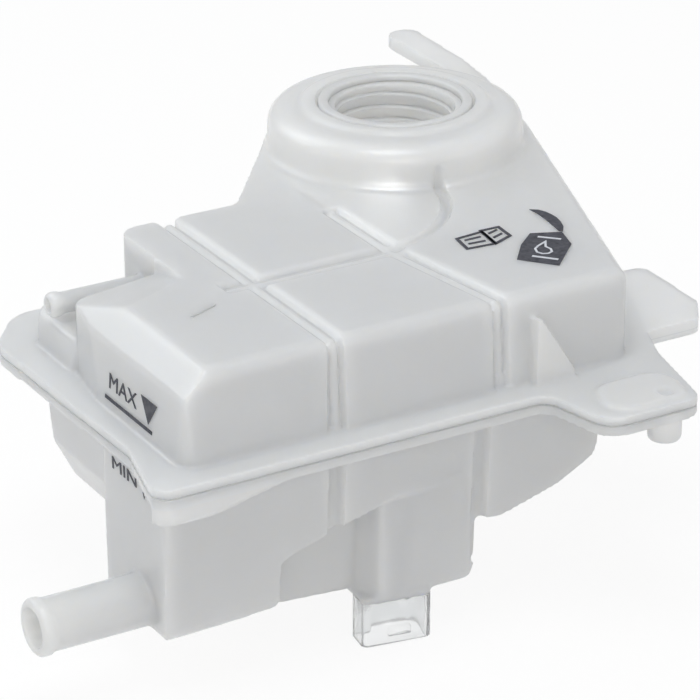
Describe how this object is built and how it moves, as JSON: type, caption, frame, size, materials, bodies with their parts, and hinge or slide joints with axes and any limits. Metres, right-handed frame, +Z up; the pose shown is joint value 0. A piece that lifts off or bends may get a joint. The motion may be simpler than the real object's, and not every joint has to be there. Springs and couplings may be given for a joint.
{
  "type": "coolant expansion tank",
  "caption": "Two-shell translucent plastic coolant tank for an engine bay, with a threaded filler neck, hose spigot, bleed nipple, level-sensor connector and locating pin.",
  "frame": {"origin": "on the locating pin's axis, where the pin leaves the underside of the flange", "axes": "+Z up, parallel to the filler neck's axis; +X along the long front wall, away from the hose spigot; +Y from the front wall to the back"},
  "size_m": [0.2821, 0.2596, 0.14],
  "materials": {
    "milky_plastic": "translucent natural polypropylene, satin",
    "pin_steel": "dull"
  },
  "bodies": {
    "root": {"upper_shell": "milky_plastic", "lower_shell": "milky_plastic", "left_sensor_pin": "pin_steel", "right_sensor_pin": "pin_steel"}
  },
  "joints": []
}
